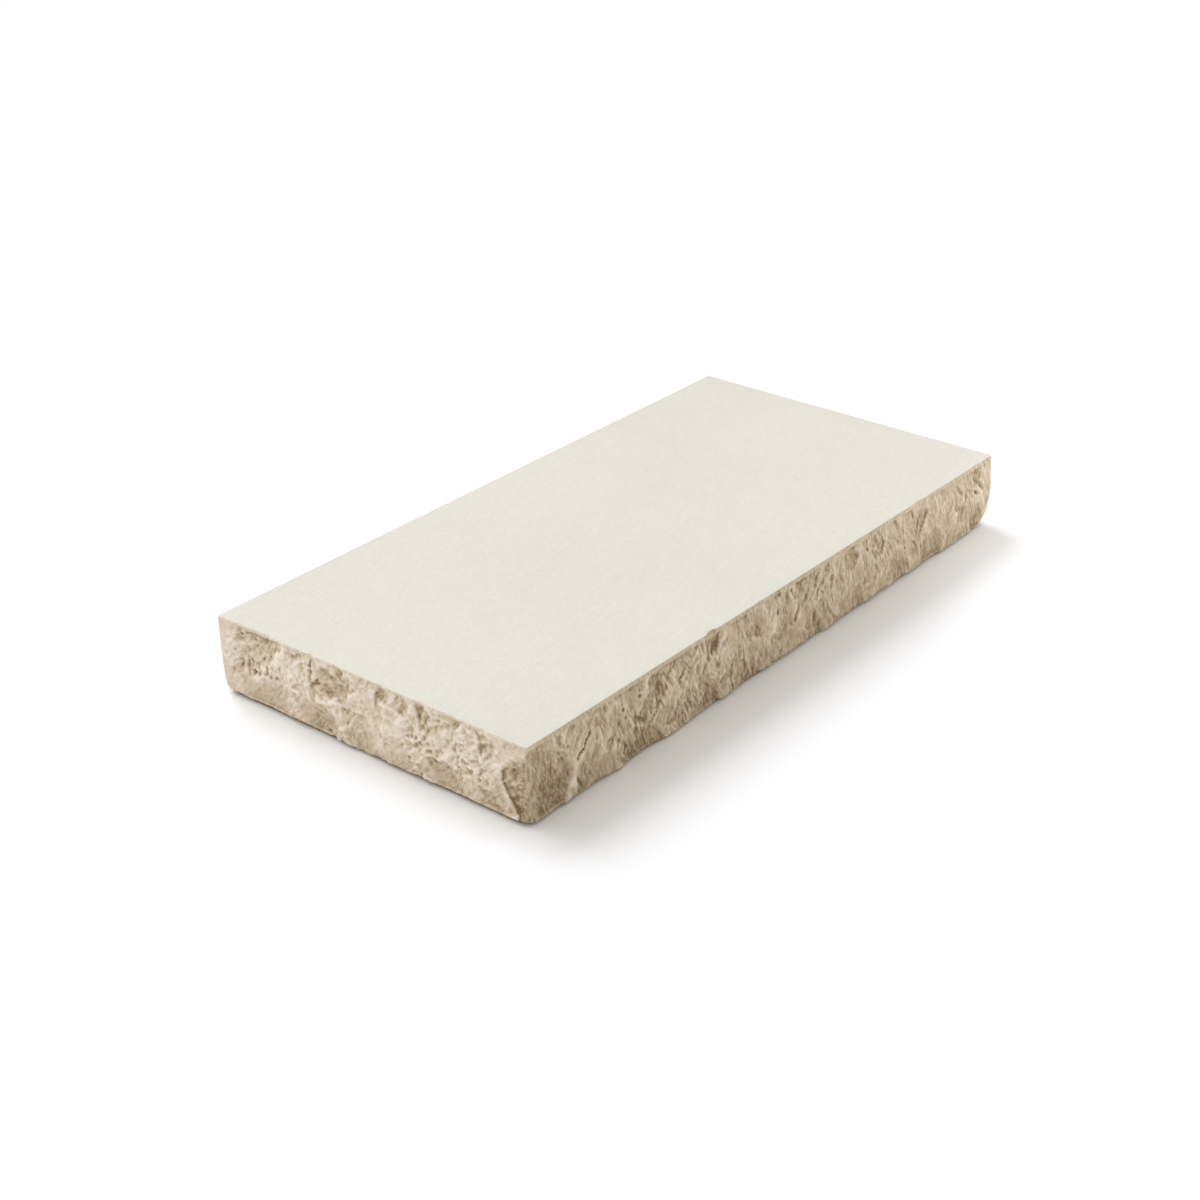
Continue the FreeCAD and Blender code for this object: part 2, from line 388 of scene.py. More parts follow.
def streams(turn, lean, seed):
    """Distances along and across the run of the break, which wanders: for the ends, then the long sides."""
    c, t = math.cos(0.88 + turn), math.sin(0.88 + turn)
    p, q = math.cos(1.25 + lean), math.sin(1.25 + lean)
    x, y, z = base[..., 0], base[..., 1], base[..., 2]
    bend_a = 5.0 * fbm(base, 45, 2, seed)
    bend_b = 6.5 * fbm(base, 60, 2, seed + 1) + 1.6 * fbm(base, 12, 2, seed + 2)
    return (
        (-y * c + z * t + bend_a, y * t + z * c + bend_b, x),
        (0.75 * (x * p - z * q + bend_a), 1.25 * (x * q + z * p + bend_b), y),
    )


def fold(flows, long, wide, seed):
    """Sharp crests with round valleys between, drawn out along the run."""
    both = []
    for a, b, across in flows:
        q = np.stack([a / long, b / wide, across / 60 + 0.37 * seed], -1)
        both.append(1 - 2.4 * np.abs(perlin(q, seed)))
    return both[0] * at_end + both[1] * (1 - at_end)


def scoops(flows, long, wide, seed):
    """Shallow scoops with sharp crests between, longer along the run."""
    both = []
    for a, b, across in flows:
        a, b, layer = a / long, b / wide, (across > 0).astype(np.int64)
        ca, cb = np.floor(a).astype(np.int64), np.floor(b).astype(np.int64)
        low = np.full(a.shape, 1e9)
        for i in (-1, 0, 1):
            for j in (-1, 0, 1):
                h = lattice(ca + i, cb + j, layer, seed)
                one, two, three = ((h >> np.uint32(k) & np.uint32(1023)) / 1023.0 for k in (0, 10, 20))
                h = lattice(ca + i, cb + j, layer, seed + 7)
                tip_a, tip_b = ((h >> np.uint32(k) & np.uint32(1023)) / 1023.0 - 0.5 for k in (0, 10))
                da, db = a - (ca + i) - 0.1 - 0.8 * one, b - (cb + j) - 0.1 - 0.8 * two
                low = np.minimum(low, da * da + db * db + 0.35 * three + 0.9 * (tip_a * da + tip_b * db))
        both.append(low)
    return both[0] * at_end + both[1] * (1 - at_end)


flows, other = streams(0.0, 0.0, 101), streams(-0.5, 0.75, 111)
turned = smooth(fbm(base, 36, 2, 44), -0.05, 0.07)
open_face = 1 - clean
gate = (0.18 + 0.82 * open_face) * (0.55 + 0.45 * crumble) * (0.9 + 0.5 * at_end)
for long, wide, high, seed in ((60, 17, 0.25, 121), (24, 8.5, 0.20, 122), (12, 4.8, 0.28, 123), (7.0, 2.9, 0.24, 124)):
    ribs = fold(flows, long, wide, seed) * (1 - turned) + fold(other, long, wide, seed + 50) * turned
    face += high * (ribs - 0.3) * gate
for long, wide, high, seed in ((36, 19, 2.8, 131), (17, 9.0, 1.3, 132), (8.5, 5.0, 0.45, 133)):
    shells = scoops(flows, long, wide, seed) * (1 - turned) + scoops(other, long, wide, seed + 50) * turned
    face += high * (shells - 0.3) * (0.3 + 0.7 * gate) * (0.87 + 0.13 * at_end)


def spall(face, count, size, deep, long, keep_out, seed):
    """Shell-shaped bites out of the present surface, drawn out along the run of the break."""
    rng = np.random.default_rng(seed)
    for n in range(count):
        i = int(rng.integers(3, ROWS))
        j = int(rng.integers(0, COLS))
        r = rng.uniform(*size)
        d = rng.uniform(*deep) * (r / size[1]) ** 0.5
        stretch = rng.uniform(*long)
        turn = run[i, j] + rng.normal(0, 0.3)
        tip = rng.normal(0, 0.4, 2)
        if rng.random() < keep_out[i, j]:
            continue
        w = int(math.ceil(2.0 * r * stretch / pitch))
        ii = np.arange(max(0, i - w), min(ROWS, i + w) + 1)
        jj = np.arange(j - w, j + w + 1)
        v, u = np.meshgrid((i - ii) * pitch, (jj - j) * pitch, indexing="ij")
        a = (u * math.cos(turn) + v * math.sin(turn)) / (r * stretch)
        b = (-u * math.sin(turn) + v * math.cos(turn)) / r
        q = a * a + b * b
        grid = np.ix_(ii, jj % COLS)
        now = face[grid]
        level = now[q < 0.6].mean()
        bowl = level + d * (q - 0.75) + d * (tip[0] * a + tip[1] * b)
        face[grid] = np.minimum(now, bowl + 0.25 * (now - level))
    return face


face = spall(face, 150, (6, 12), (0.4, 1.0), (1.4, 2.4), clean * 0.8, 52)
face = spall(face, 500, (1.8, 3.4), (0.4, 0.9), (2.2, 4.0), np.clip(0.6 - 0.4 * ends + clean, 0, 1), 53)

# small ledges along the bedding, broken off short
bed_way = np.array([1.0, 1.0, 1.0]) / math.sqrt(3)
slip = (base @ bed_way) + fbm(base, 22, 2, 61) * 5 + fbm(base, 6, 2, 62) * 1.6
for wave_mm, deep, seed in ((13.0, 0.9, 63), (6.0, 0.45, 64)):
    x = -slip / wave_mm + 0.3 * seed
    tooth = x - np.floor(x)
    open_ = smooth(fbm(base, 1.9 * wave_mm, 2, seed), 0.0, 0.3)
    face -= deep * (1 - tooth) * open_ * (0.3 + 0.7 * crumble) * (1 - 0.9 * clean) * (0.45 + 0.55 * at_end)

# crumbs and small pits
lumps = fbm(base, 3.6, 2, 71, 0.6)
face += (lumps - 0.5 * np.abs(lumps)) * (0.14 + 0.3 * crumble) * (1 - 0.75 * clean) * (0.4 + 0.6 * at_end)


def pit(face, i, j, r, d, turn, stretch):
    w = int(math.ceil(2.2 * r * stretch / pitch)) + 1
    ii = np.arange(max(0, i - w), min(ROWS, i + w) + 1)
    jj = np.arange(j - w, j + w + 1)
    v, u = np.meshgrid((i - ii) * pitch, (jj - j) * pitch, indexing="ij")
    a = (u * math.cos(turn) + v * math.sin(turn)) / (r * stretch)
    b = (-u * math.sin(turn) + v * math.cos(turn)) / r
    grid = np.ix_(ii, jj % COLS)
    face[grid] -= d * np.exp(-((a * a + b * b) ** 1.5))


rng = np.random.default_rng(81)
for n in range(500):
    i, j = int(rng.integers(5, ROWS - 3)), int(rng.integers(0, COLS))
    r, d, turn, stretch = rng.uniform(0.9, 1.9), rng.uniform(0.5, 1.6), rng.normal(0, 0.5), rng.uniform(1, 1.9)
    if rng.random() < (0.02 + 0.6 * crumble[i, j] ** 2) * (0.3 + 0.7 * ends[0, j]):
        pit(face, i, j, r, d, run[i, j] + turn, stretch)

for low_u, high_u, low_z, high_z, many in ((30, 62, 24, 38, 20), (198, 218, 22, 35, 12), (232, 262, 22, 34, 12)):
    for n in range(many):
        u, z = rng.uniform(low_u, high_u), rng.uniform(low_z, high_z)
        i = int(np.argmin(np.abs(rows[:, 0] - z)))
        j = int(np.argmin(np.abs(girth[0] - u)))
        pit(face, i, j, rng.uniform(0.9, 1.6), rng.uniform(0.7, 1.6), run[i, j] + rng.normal(0, 0.4), rng.uniform(1, 1.8))

# the shell of the big scar low on the near end, with its ripples
a, b = around(near_end + 103, 12.6, 0.0, 0.25)
far = np.hypot(a + 4, b + 7)
face += 0.16 * np.sin(far * (2 * math.pi / 5.2)) * smooth(np.abs(far - 19), 8, 4) * smooth(b, -6, 3) * smooth(a, -12, 6)

# cracks
split = np.zeros(face.shape)
jag_u, jag_z = 2.2 * fbm(base, 7, 2, 15), 2.2 * fbm(base, 7, 2, 16)
for line_ in (
    [(front + 65, 46.7), (front + 62.5, 43.1), (front + 60.5, 41.5), (front + 58, 36.8), (front + 54, 34.1), (front + 52, 30.5)],
    [(front + 171, 48.3), (front + 168, 45.1), (front + 163, 42.5)],
    [(front + 106, 15.8), (front + 103, 13.1), (front + 103.5, 9.5)],
    [(near_end + 97, 58.8), (near_end + 96, 54.6), (near_end + 98, 51.5)],
):
    gap, gone = np.full(face.shape, 1e9), np.zeros(face.shape)
    for n, ((u0, z0), (u1, z1)) in enumerate(zip(line_, line_[1:])):
        du, dz = girth + jag_u - u0, up + jag_z - z0
        eu, ez = u1 - u0, z1 - z0
        t = np.clip((du * eu + dz * ez) / (eu * eu + ez * ez), 0, 1)
        off = np.hypot(du - t * eu, dz - t * ez)
        gone = np.where(off < gap, (n + t) / (len(line_) - 1), gone)
        gap = np.minimum(gap, off)
    thin = np.sqrt(np.clip(4 * gone * (1 - gone), 0, 1))
    split = np.maximum(split, smooth(gap + 1.4 * fbm(base, 4, 2, 98), 0.9 + 0.7 * thin, 0.2) * (0.15 + 0.85 * thin))
face -= 2.2 * split

# a calmer patch low on the far end
a, b = around(1085, 13)
face += (blur(face, 2.4) - face) * 0.85 * np.exp(-((a / 18) ** 2) - (b / 14) ** 2)

# ---------------------------------------------------------------------------
# Foot and arris
# ---------------------------------------------------------------------------

foot = smooth(up, 7, 0)
wave = fbm(base * np.array([1, 1, 0]), 62, 2, 91)
face -= foot * (0.2 + 2.0 * wave)
face = np.where(face < -1.6, face + (-1.6 - face) * 0.6 * smooth(up, 6, 1), face)

gap = np.abs(girth - 900 + 3 * fbm(base, 9, 2, 99))
face -= 4.0 * smooth(gap, 15, 3) * smooth(up, 17, 5)

# the face starts from the arris, so hollows only deepen below it
depth = np.maximum(at - 1.7, 0)[:, None]
floor_ = -(0.6 + 0.5 * at_end + (0.32 + 0.7 * at_end) * depth)
near_top = smooth(depth, 14, 8)
face = np.where(face < floor_, face + (floor_ - face) * 0.8 * near_top, face)
# the corners at the left and right of the view stay nearly straight
for u in (0, 900):
    gap = np.abs((girth - u + 900) % 1800 - 900)
    calm = smooth(gap, 22, 4) * smooth(up, 4, 16)
    face = np.where(face < -0.5, face + (-0.5 - face) * 0.75 * calm, face)
# the right one juts out at mid height
gap = np.abs(girth - 900 + 1.5 * fbm(base, 8, 2, 100))
jut = np.exp(-((gap / 3.5) ** 2)) * np.exp(-(((up - 33 + 4 * fbm(base, 9, 2, 105)) / 11) ** 2))
face += 2.0 * jut
# at the arris the face runs out to the eased edge, more gently on the long sides
by_near = (side == 3).astype(float)
hold = smooth(at, 0.3, 2.3)[:, None] * at_end + smooth(at, 0.4, 5.5)[:, None] * (1 - at_end)
nick = (0.16 + 0.3 * by_near) * fbm(base * np.array([1, 1, 0]), 6, 3, 95)[0]
chip = np.zeros(COLS)
for u, half, deep in [
    (front + 203, 7, 2.2),
    (front + 262, 4, 0.7),
    (front + 480, 5, 0.8),
    (near_end + 99, 5, 1.3),
    (near_end + 52, 7, 0.8),
    (near_end + 208, 7, 1.0),
    (near_end + 168, 4, 0.7),
    (near_end + 262, 5, 0.8),
    (near_end + 130, 6, 0.6),
    (975, 5, 0.4),
    (1090, 6, 0.4),
    (1330, 6, 0.4),
    (1580, 7, 0.4),
]:
    gap = np.abs((girth[0] + 2.5 * fbm(base, 5, 2, 96)[0] - u + 900) % 1800 - 900)
    chip = np.maximum(chip, deep * smooth(gap, half, 0.3 * half))
sunk = np.clip(-0.9 - blur(face, 1.2)[7], 0, 3)
edge = np.clip(0.12 + nick + chip + (0.08 + 0.37 * by_near) * sunk, 0, 4)
face = face * hold + (1 - hold) * np.minimum(0, -edge)[None, :]
face = np.minimum(face, 0.6 + 1.6 * jut)

place = base + way * face[..., None]
# the eased edge only moves level, and the top stays flat
for i in range(3):
    place[i, :, :2] = base[i, :, :2] + (
        way[i, :, :2] / np.linalg.norm(way[i, :, :2], axis=1, keepdims=True)
    ) * face[i][:, None]
    place[i, :, 2] = base[i, :, 2] - (0.2 * edge if i == 0 else 0)
place[..., 2] = np.clip(place[..., 2], 0, 63)
place[-1, :, 2] = 0

print("relief mm: lowest %.2f mean %.2f highest %.2f" % (face.min(), face.mean(), face.max()))

# ---------------------------------------------------------------------------
# Mesh: edge grid, top and bed
# ---------------------------------------------------------------------------

verts = [place.reshape(-1, 3)]
faces = []
count = (ROWS + 1) * COLS
jj = np.arange(COLS)
jn = (jj + 1) % COLS
for i in range(ROWS):
    a, b = i * COLS, (i + 1) * COLS
    faces += np.stack([a + jj, b + jj, b + jn, a + jn], -1).tolist()


def cap(first, height, flip, insets):
    """Closes the ring that starts at vertex number first with three coarser rings and a grid."""
    global count
    outer, n, step = first + np.arange(COLS), COLS, 1
    for inset in insets:
        step *= 2
        xy, _ = ring(inset, 0.0, step)
        verts.append(np.c_[xy, np.full(len(xy), height)])
        inner = count + np.arange(len(xy))
        count += len(xy)
        for k in range(len(inner)):
            k2 = (k + 1) % len(inner)
            a, b, c = outer[2 * k], outer[2 * k + 1], outer[(2 * k + 2) % len(outer)]
            for t in ((a, b, inner[k]), (b, inner[k2], inner[k]), (b, c, inner[k2])):
                faces.append([int(v) for v in (t[::-1] if flip else t)])
        outer = inner
    nx, ny = N_LONG // step, N_SHORT // step
    x = np.linspace(-(HALF_L - insets[-1]), HALF_L - insets[-1], nx + 1)
    y = np.linspace(-(HALF_W - insets[-1]), HALF_W - insets[-1], ny + 1)
    number = np.full((ny + 1, nx + 1), -1)
    number[0, :] = outer[np.arange(nx + 1)]
    number[:, nx] = outer[nx + np.arange(ny + 1)]
    number[ny, ::-1] = outer[nx + ny + np.arange(nx + 1)]
    number[::-1, 0] = outer[(2 * nx + ny + np.arange(ny + 1)) % len(outer)]
    gx, gy = np.meshgrid(x[1:-1], y[1:-1])
    verts.append(np.c_[gx.ravel(), gy.ravel(), np.full(gx.size, height)])
    number[1:-1, 1:-1] = count + np.arange(gx.size).reshape(gx.shape)
    count += gx.size
    for r in range(ny):
        for c in range(nx):
            q = [number[r, c], number[r, c + 1], number[r + 1, c + 1], number[r + 1, c]]
            faces.append([int(v) for v in (q[::-1] if flip else q)])


cap(0, 63.0, False, (8.0, 16.0, 28.0))
cap(ROWS * COLS, 0.0, True, (17.0, 25.0, 37.0))

verts = np.concatenate(verts) * 0.001
mesh = bpy.data.meshes.new("coping_stone_rock")
mesh.from_pydata(verts.tolist(), [], faces)
mesh.validate()
mesh.polygons.foreach_set("use_smooth", [True] * len(mesh.polygons))

# the top arris is a crisp edge
pair = np.zeros(len(mesh.edges) * 2, int)
mesh.edges.foreach_get("vertices", pair)
pair = pair.reshape(-1, 2)
on_arris = (pair < COLS).all(1)
on_bed = ((pair >= ROWS * COLS) & (pair < (ROWS + 1) * COLS)).all(1)
mesh.edges.foreach_set("use_edge_sharp", on_arris | on_bed)


# one flat map: a strip for each side, the top, and the bed at a smaller scale
corners = np.zeros(len(mesh.loops), int)
mesh.loops.foreach_get("vertex_index", corners)
flat = np.zeros((len(corners), 2))
ii, jj = np.repeat(np.arange(ROWS), COLS), np.tile(np.arange(COLS), ROWS)
first = np.concatenate([[0], np.cumsum([s[4] for s in SIDES])[:-1]])[side[jj]]
wide = np.array([2 * s[2] / s[4] for s in SIDES])[side[jj]]
left = np.array([0.0, 306.0, 0.0, 0.0])[side[jj]]
low = np.array([0.0, 148.0, 74.0, 148.0])[side[jj]]
for k, (di, dj) in enumerate(((0, 0), (1, 0), (1, 1), (0, 1))):
    flat[k : 4 * ROWS * COLS : 4, 0] = left + (jj + dj - first) * wide
    flat[k : 4 * ROWS * COLS : 4, 1] = low + at[-1] - at[ii + di]
rest = np.arange(4 * ROWS * COLS, len(corners))
xy, z = verts[corners[rest], :2] * 1000, verts[corners[rest], 2]
on_top = z > 0.03
flat[rest] = np.where(on_top[:, None], xy + (300.0, 378.0), xy * 0.25 + (75.0, 572.0))
layer = mesh.uv_layers.new(name="OFBake")
layer.data.foreach_set("uv", (flat / 618.0 + 0.004).ravel())


def give(name, edge_values, rest):
    """A value for each vertex, from the edge grid, with one value over the top and bed."""
    values = np.full(len(verts), rest, np.float32)
    values[: (ROWS + 1) * COLS] = edge_values.reshape(-1)
    mesh.attributes.new(name, "FLOAT", "POINT").data.foreach_set("value", values)


# painted shade in the hollows and painted highlight on the swellings between them
painted_light_and_tone = np.zeros(face.shape)
ragged = sum(
    w * perlin(np.stack([a / 17, b / 5, across / 60], -1), 97)
    for (a, b, across), w in zip(flows, (at_end, 1 - at_end))
)
ragged = 0.5 * ragged + 0.25 * fbm(base, 5, 2, 94)
for u, z, half, wide, turn, much in [
    (near_end + 117, 45, 17, 12, 0.3, -0.15),
    (near_end + 45, 44, 14, 13, 0.2, -0.06),
    (near_end + 208, 50, 7, 9, 0.2, -0.16),
    (near_end + 102, 14, 15, 9, 0.0, -0.09),
    (near_end + 226, 13, 20, 8, 0.0, -0.08),
    (near_end + 264, 11, 16, 8, 0.0, -0.07),
    (near_end + 45, 13, 32, 9, 0.0, -0.06),
    (near_end + 12, 32, 12, 26, 0.0, 0.08),
    (near_end + 76, 42, 14, 11, 0.6, 0.09),
    (near_end + 182, 37, 14, 7, 0.5, 0.16),
    (near_end + 238, 40, 20, 13, 0.4, 0.08),
    (near_end + 160, 17, 22, 11, 0.2, 0.06),
    (front + 124, 22, 16, 13, -0.7, -0.13),
    (front + 136, 46, 11, 11, -0.7, -0.11),
    (front + 112, 11, 16, 9, -0.3, -0.10),
    (front + 203, 52, 6, 11, -0.6, -0.14),
    (front + 200, 14, 26, 9, 0.0, -0.09),
    (front + 250, 13, 24, 9, 0.0, -0.08),
    (front + 258, 44, 8, 9, -0.7, -0.09),
    (front + 332, 14, 22, 10, 0.0, -0.07),
    (front + 420, 47, 12, 9, -0.6, -0.08),
    (front + 484, 44, 8, 13, -0.5, -0.09),
    (front + 577, 15, 14, 9, 0.0, -0.08),
    (front + 48, 24, 5, 20, -0.2, 0.12),
    (front + 84, 40, 12, 9, -0.6, 0.10),
    (front + 92, 30, 7, 6, 0.0, 0.08),
    (front + 160, 27, 14, 13, -0.6, 0.07),
    (front + 278, 37, 10, 11, -0.5, 0.17),
    (front + 222, 38, 12, 9, -0.6, 0.06),
    (front + 365, 40, 14, 11, -0.6, 0.06),
    (front + 520, 44, 12, 14, -0.6, 0.07),
    (front + 588, 42, 12, 16, 0.0, 0.12),
]:
    a, b = around(u, z, turn, 1.5)
    strength = (0.9 if u < 300 else 0.55) if much > 0 else (0.75 if u < 320 else 0.4)
    strength *= 0.6 if u > 620 else 1.0
    painted_light_and_tone += strength * much * smooth(np.hypot(a / half, b / wide) + ragged, 1.25, 0.75)
for u in range(925, 1790, 34):
    # the two far faces
    u += dice.uniform(-10, 10)
    a, b = around(u, dice.uniform(12, 50), dice.uniform(-0.8, 0.8), 1.5)
    reach_ = np.hypot(a / dice.uniform(9, 20), b / dice.uniform(8, 14))
    painted_light_and_tone += dice.uniform(-0.11, 0.09) * smooth(reach_ + ragged, 1.25, 0.75)
# painted contact shadow: the lowest 3 mm of the face are painted darker
painted_light_and_tone -= 0.55 * smooth(up, 3.0, 0.5)
# painted shade in the cracks
painted_light_and_tone -= 0.3 * split
# the near-corner break is darker, with painted shade along its left rim and a painted highlight along its right rim
painted_light_and_tone -= (0.09 + 0.14 * at_end) * in_scar * (1 + 0.9 * ragged)
painted_light_and_tone -= 0.10 * at_end * np.exp(-(((from_left - 0.8) / 1.0) ** 2)) * smooth(up, 38, 28)
painted_light_and_tone += 0.08 * (1 - at_end) * np.exp(-(((from_right + 3.5) / 2.6) ** 2)) * smooth(up, 4, 10) * smooth(up, 46, 36)
# painted highlight: a paler band under the long arris; painted shade: the long sides as a whole a little darker
painted_light_and_tone += (0.02 * smooth(at, 5.0, 0.7)[:, None] - 0.045) * (1 - at_end)
# relief measures; the material paints highlight on the high parts and shade in the hollows with them
below = smooth(at, 1.0, 5.0)[:, None]
small = np.clip((face - blur(face, 3.5)) / 0.8, -1, 1) * below
finest = np.clip((face - blur(face, 1.5)) / 0.35, -1, 1) * below
broad = np.clip((blur(face, 2.5) - blur(face, 15)) / 1.3, -1, 1)
rough = smooth(at, -0.1, 0.7)[:, None] * np.ones((1, COLS))
give("ridge", small, 0.0)
give("crest", finest, 0.0)
give("swell", broad, 0.0)
give("painted_light_and_tone", painted_light_and_tone, 0.0)
give("rock", rough, 0.0)
give("at_end", at_end, 0.0)
give("scar", in_scar, 0.0)
for kind, (a, b, across) in zip(("end", "long"), flows):
    give("along_" + kind, a * 0.001, 0.0)
    give("across_" + kind, b * 0.001, 0.0)
    give("deep_" + kind, across * 0.001, 0.0)

stone = bpy.data.objects.new("coping_stone_rock", mesh)
bpy.context.scene.collection.objects.link(stone)

# ---------------------------------------------------------------------------
# Stone
# ---------------------------------------------------------------------------

mat = bpy.data.materials.new("limestone")
mat.use_nodes = True
nt = mat.node_tree
nt.nodes.clear()


def link(a, b):
    nt.links.new(a, b)


def math_(op, a, b=None, clamp=False):
    n = nt.nodes.new("ShaderNodeMath")
    n.operation, n.use_clamp = op, clamp
    for k, v in enumerate((a, b)):
        if v is None:
            continue
        if isinstance(v, (int, float)):
            n.inputs[k].default_value = v
        else:
            link(v, n.inputs[k])
    return n.outputs[0]


def noise(coord, scale, detail=2.0, rough=0.5, distortion=0.0):
    n = nt.nodes.new("ShaderNodeTexNoise")
    n.inputs["Scale"].default_value = scale
    n.inputs["Detail"].default_value = detail
    n.inputs["Roughness"].default_value = rough
    n.inputs["Distortion"].default_value = distortion
    link(coord, n.inputs["Vector"])
    return n.outputs["Fac"]


def ramp(fac, stops):
    n = nt.nodes.new("ShaderNodeValToRGB")
    while len(n.color_ramp.elements) < len(stops):
        n.color_ramp.elements.new(0.5)
    for e, (pos, col) in zip(n.color_ramp.elements, stops):
        e.position = pos
        e.color = (*col, 1.0)
    link(fac, n.inputs["Fac"])
    return n.outputs["Color"]


def mix(fac, a, b, blend="MIX"):
    n = nt.nodes.new("ShaderNodeMix")
    n.data_type, n.blend_type = "RGBA", blend
    for key, v in ((0, fac), (6, a), (7, b)):
        if isinstance(v, (int, float)):
            n.inputs[key].default_value = v
        elif isinstance(v, tuple):
            n.inputs[key].default_value = (*v, 1.0)
        else:
            link(v, n.inputs[key])
    return n.outputs[2]


def attr(name):
    n = nt.nodes.new("ShaderNodeAttribute")
    n.attribute_name = name
    return n.outputs["Fac"]


def srgb(r, g, b):
    def lin(c):
        c /= 255
        return c / 12.92 if c <= 0.04045 else ((c + 0.055) / 1.055) ** 2.4

    return lin(r), lin(g), lin(b)


coord = nt.nodes.new("ShaderNodeTexCoord").outputs["Object"]

# top: rubbed, cream, faintly mottled, with fine grains
drift = noise(coord, 9.0, 2.0, 0.5)
mottle = noise(coord, 180.0, 3.0, 0.6)
grains = noise(coord, 900.0, 2.0, 0.6)
top_col = ramp(drift, [(0.35, srgb(211, 207, 196)), (0.65, srgb(214, 210, 198))])
top_col = mix(
    math_("MULTIPLY", math_("SUBTRACT", mottle, 0.42), 0.6, True), top_col, srgb(196, 190, 176)
)
place_ = nt.nodes.new("ShaderNodeSeparateXYZ")
link(coord, place_.inputs[0])
way_ = nt.nodes.new("ShaderNodeCombineXYZ")
for k, (by_x, by_y) in enumerate(((34.0, 12.0), (-80.0, 230.0))):
    part = math_("ADD", math_("MULTIPLY", place_.outputs[0], by_x), math_("MULTIPLY", place_.outputs[1], by_y))
    link(part, way_.inputs[k])
rubbed = noise(way_.outputs[0], 1.0, 3.0, 0.6)
top_col = mix(math_("MULTIPLY", math_("SUBTRACT", rubbed, 0.5), 0.9, True), top_col, srgb(224, 220, 210))
specks = ramp(grains, [(0.34, srgb(190, 183, 170)), (0.46, srgb(255, 255, 255))])
top_col = mix(0.2, top_col, specks, "MULTIPLY")

# rock face: beige; paler and pinker on the high parts and olive brown in the hollows, partly the stone's own colour and
# partly painted highlight and painted shade
ridge, crest_a, swell, painted_light_and_tone_a, rock = (attr(n) for n in ("ridge", "crest", "swell", "painted_light_and_tone", "rock"))
height = nt.nodes.new("ShaderNodeSeparateXYZ")
link(coord, height.inputs[0])


def along_run(scale_a, scale_b, detail=2.0):
    """Noise drawn out along the run of the break; scales per metre."""
    both = []
    for kind in ("end", "long"):
        n = nt.nodes.new("ShaderNodeCombineXYZ")
        link(math_("MULTIPLY", attr("along_" + kind), scale_a), n.inputs[0])
        link(math_("MULTIPLY", attr("across_" + kind), scale_b), n.inputs[1])
        link(math_("MULTIPLY", attr("deep_" + kind), 20.0), n.inputs[2])
        both.append(noise(n.outputs[0], 1.0, detail, 0.6))
    part = math_("MULTIPLY", math_("SUBTRACT", both[0], both[1]), attr("at_end"))
    return math_("ADD", part, both[1])


def swept(value, mask, low, high):
    """The value about its middle, stronger where the mask is high."""
    much = math_("ADD", math_("MULTIPLY", mask, high - low), low)
    return math_("ADD", math_("MULTIPLY", math_("SUBTRACT", value, 0.5), much), 0.5)


mask = ramp(noise(coord, 48.0, 2.0, 0.5), [(0.40, (0, 0, 0)), (0.60, (1, 1, 1))])
mask = math_("MAXIMUM", mask, attr("scar"))
strokes = swept(along_run(120.0, 330.0, 3.0), mask, 0.3, 1.3)
hairs = swept(along_run(260.0, 700.0), mask, 0.5, 1.1)
patch = noise(coord, 55.0, 3.0, 0.55, 0.6)
fleck = noise(coord, 330.0, 2.0, 0.6)
tone = 0.5
# the tone: painted highlight on the high parts and painted shade in the hollows from the relief measures and painted
# patches, plus random patches, flecks and strokes
for value, middle, weight in (
    (ridge, 0.0, 0.18),
    (crest_a, 0.0, 0.24),
    (swell, 0.0, 0.06),
    (painted_light_and_tone_a, 0.0, 1.0),
    (patch, 0.5, 0.20),
    (fleck, 0.5, 0.30),
    (strokes, 0.5, 0.85),
    (hairs, 0.5, 0.60),
    # painted light: the lit ends lighter; painted shade: the long sides darker
    (attr("at_end"), 0.5, 0.21),
    # painted shade: darker towards the bottom
    (height.outputs[2], 0.03, 2.0),
):
    term = math_("MULTIPLY", math_("SUBTRACT", value, middle), weight)
    tone = math_("ADD", term, tone)
tone = math_("ADD", tone, 0.0, True)
rock_col = ramp(
    tone,
    [
        (0.0, srgb(128, 108, 78)),
        (0.25, srgb(172, 154, 124)),
        (0.5, srgb(204, 187, 160)),
        (0.75, srgb(223, 208, 189)),
        (1.0, srgb(240, 228, 214)),
    ],
)
col = mix(rock, top_col, rock_col)

# fine relief
bsdf = nt.nodes.new("ShaderNodeBsdfPrincipled")
out = nt.nodes.new("ShaderNodeOutputMaterial")
link(bsdf.outputs[0], out.inputs[0])
link(col, bsdf.inputs["Base Color"])
bsdf.inputs["Roughness"].default_value = 0.9
bsdf.inputs["Specular IOR Level"].default_value = 0.25
grit = noise(coord, 700.0, 3.0, 0.65)
fine_ = math_("ADD", math_("MULTIPLY", strokes, 1.1), math_("MULTIPLY", hairs, 0.8))
fine_ = math_("ADD", fine_, math_("MULTIPLY", grit, 0.55))
bump = nt.nodes.new("ShaderNodeBump")
bump.inputs["Strength"].default_value = 1.0
bump.inputs["Distance"].default_value = 0.001
height_ = math_("ADD", math_("MULTIPLY", math_("SUBTRACT", fine_, 1.225), rock), math_("MULTIPLY", grit, 0.08))
link(height_, bump.inputs["Height"])
link(bump.outputs[0], bsdf.inputs["Normal"])

mesh.materials.append(mat)
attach(stone, "root")
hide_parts("coping_stone")

# ---------------------------------------------------------------------------
# Floor, light, camera
# ---------------------------------------------------------------------------

